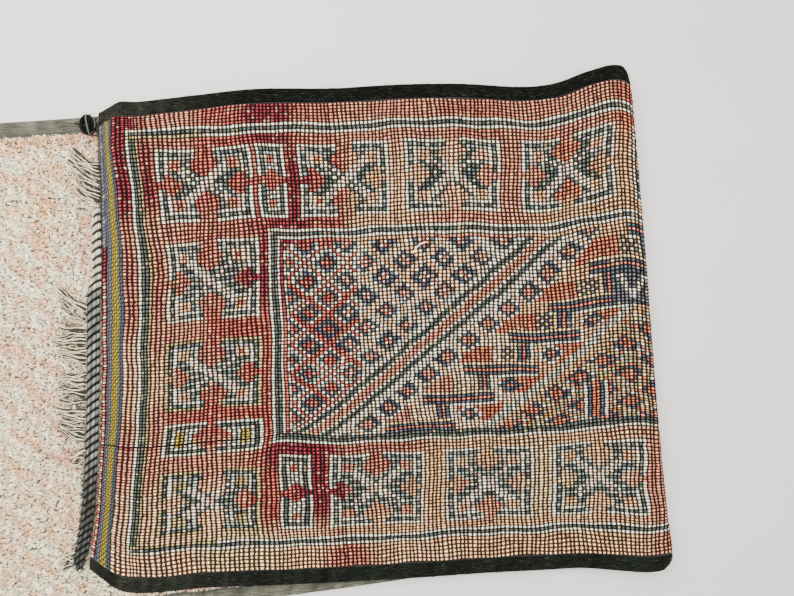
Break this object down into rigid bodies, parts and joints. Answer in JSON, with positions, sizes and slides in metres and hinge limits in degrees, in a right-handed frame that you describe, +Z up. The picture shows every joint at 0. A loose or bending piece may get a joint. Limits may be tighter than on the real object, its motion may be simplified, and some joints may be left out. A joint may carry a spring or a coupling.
{
  "type": "folded wool rug",
  "caption": "Long hand-knotted wool rug folded over once, knotted back up on the flap, pile up on the lower layer, with dark selvedges, a plied end braid and loose warp fringe.",
  "frame": {"origin": "on the floor, under the middle of the folded rug's bounding box", "axes": "+X along the rug's length towards the fold, +Y across the rug, +Z up"},
  "size_m": [1.9607, 1.3468, 0.0461],
  "materials": {
    "knotted_wool": "matt hand-spun wool, knotted",
    "selvedge_goat_hair": "dark goat hair, wrapped",
    "braided_warp": "plied grey wool",
    "loose_warp": "undyed warp yarn"
  },
  "bodies": {
    "root": {"rug_cloth": "knotted_wool", "selvedge_far": "selvedge_goat_hair", "selvedge_near": "selvedge_goat_hair", "end_braid": "braided_warp", "corner_knot": "selvedge_goat_hair", "fringe_far": "loose_warp", "fringe_near": "loose_warp"}
  },
  "joints": []
}
